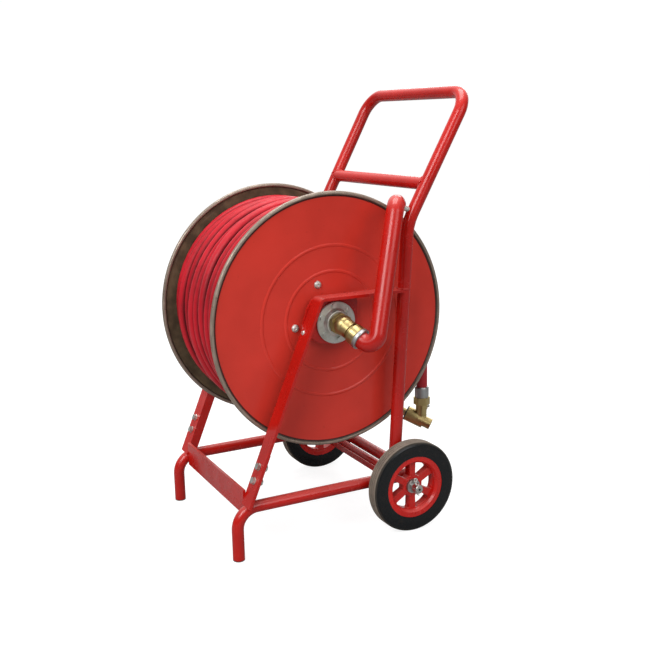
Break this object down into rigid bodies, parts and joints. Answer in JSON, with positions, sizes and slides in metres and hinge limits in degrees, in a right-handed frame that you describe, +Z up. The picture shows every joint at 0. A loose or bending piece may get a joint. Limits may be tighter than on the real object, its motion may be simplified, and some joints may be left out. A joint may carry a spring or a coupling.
{
  "type": "garden hose reel cart",
  "caption": "Two-wheeled steel cart with a bent tube handle, carrying a flanged drum of wound hose on a hollow shaft with a swivel inlet pipe.",
  "frame": {"origin": "middle of the base of the cart's box, on the floor, measured without the hose", "axes": "+X along the reel shaft towards the swivel inlet, +Y towards the push handle, +Z up"},
  "size_m": [0.569, 0.611, 0.983],
  "materials": {
    "frame_paint": "gloss",
    "disc_paint": "gloss",
    "rim_steel": "satin",
    "drum_steel": "satin",
    "zinc": "satin",
    "bronze": "satin",
    "brass": "satin",
    "ferrule_aluminium": "satin",
    "hub_red": "gloss",
    "wheel_bush_steel": "satin",
    "tyre_rubber": "matte",
    "hose_rubber": "satin",
    "black_rubber": "matte"
  },
  "bodies": {
    "cart_frame": {"handle_tube": "frame_paint", "handle_crossbar": "frame_paint", "base_tube": "frame_paint", "foot_caps": "black_rubber", "front_crossbar": "frame_paint", "axle_angle": "frame_paint", "axle": "zinc", "axle_washers": "zinc", "split_pins": "zinc", "left_strap": "frame_paint", "right_strap": "frame_paint", "left_lug": "frame_paint", "right_lug": "frame_paint", "strap_bolts": "zinc", "left_bearing_plate": "frame_paint", "right_bearing_plate": "frame_paint", "left_bearing_flange": "zinc", "right_bearing_flange": "zinc", "left_bearing_bush": "bronze", "right_bearing_bush": "bronze", "flange_bolts": "zinc", "left_plate_screw": "zinc", "right_plate_screw": "zinc", "swivel_body": "brass", "swivel_seal": "black_rubber", "inlet_nut": "brass", "inlet_ferrule": "ferrule_aluminium", "inlet_pipe": "frame_paint", "inlet_coupling": "brass", "pipe_clip": "zinc", "hose_tail": "hose_rubber", "hose_ferrule": "ferrule_aluminium", "hose_nut": "brass", "valve_body": "brass", "stop_screw": "zinc", "stem_seal": "black_rubber"},
    "reel": {"left_disc": "disc_paint", "right_disc": "disc_paint", "left_rim": "rim_steel", "right_rim": "rim_steel", "left_hub_plate": "drum_steel", "right_hub_plate": "drum_steel", "drum_core": "drum_steel", "hub_shaft": "zinc", "shaft_plug": "zinc", "swivel_spigot": "brass", "outlet_pipe": "drum_steel", "outlet_ferrule": "ferrule_aluminium", "outlet_saddle": "drum_steel", "saddle_bolts": "zinc", "hose_winding": "hose_rubber"},
    "left_wheel": {"left_wheel_hub": "hub_red", "left_wheel_bush": "wheel_bush_steel", "left_tyre": "tyre_rubber"},
    "right_wheel": {"right_wheel_hub": "hub_red", "right_wheel_bush": "wheel_bush_steel", "right_tyre": "tyre_rubber"},
    "valve_knob": {"valve_knob": "brass"}
  },
  "joints": [
    {"name": "reel_spin", "type": "hinge", "parent": "cart_frame", "child": "reel", "pos_m": [-0.01649, -0.0255, 0.488], "axis": [1, 0, 0], "continuous": true},
    {"name": "left_wheel_spin", "type": "hinge", "parent": "cart_frame", "child": "left_wheel", "pos_m": [-0.24649, 0.1315, 0.104], "axis": [1, 0, 0], "continuous": true},
    {"name": "right_wheel_spin", "type": "hinge", "parent": "cart_frame", "child": "right_wheel", "pos_m": [0.21351, 0.1315, 0.104], "axis": [1, 0, 0], "continuous": true},
    {"name": "valve_turn", "type": "hinge", "parent": "cart_frame", "child": "valve_knob", "pos_m": [0.08951, 0.2315, 0.209], "axis": [0.6535, 0.6535, -0.382], "range_deg": [0, 90]}
  ]
}
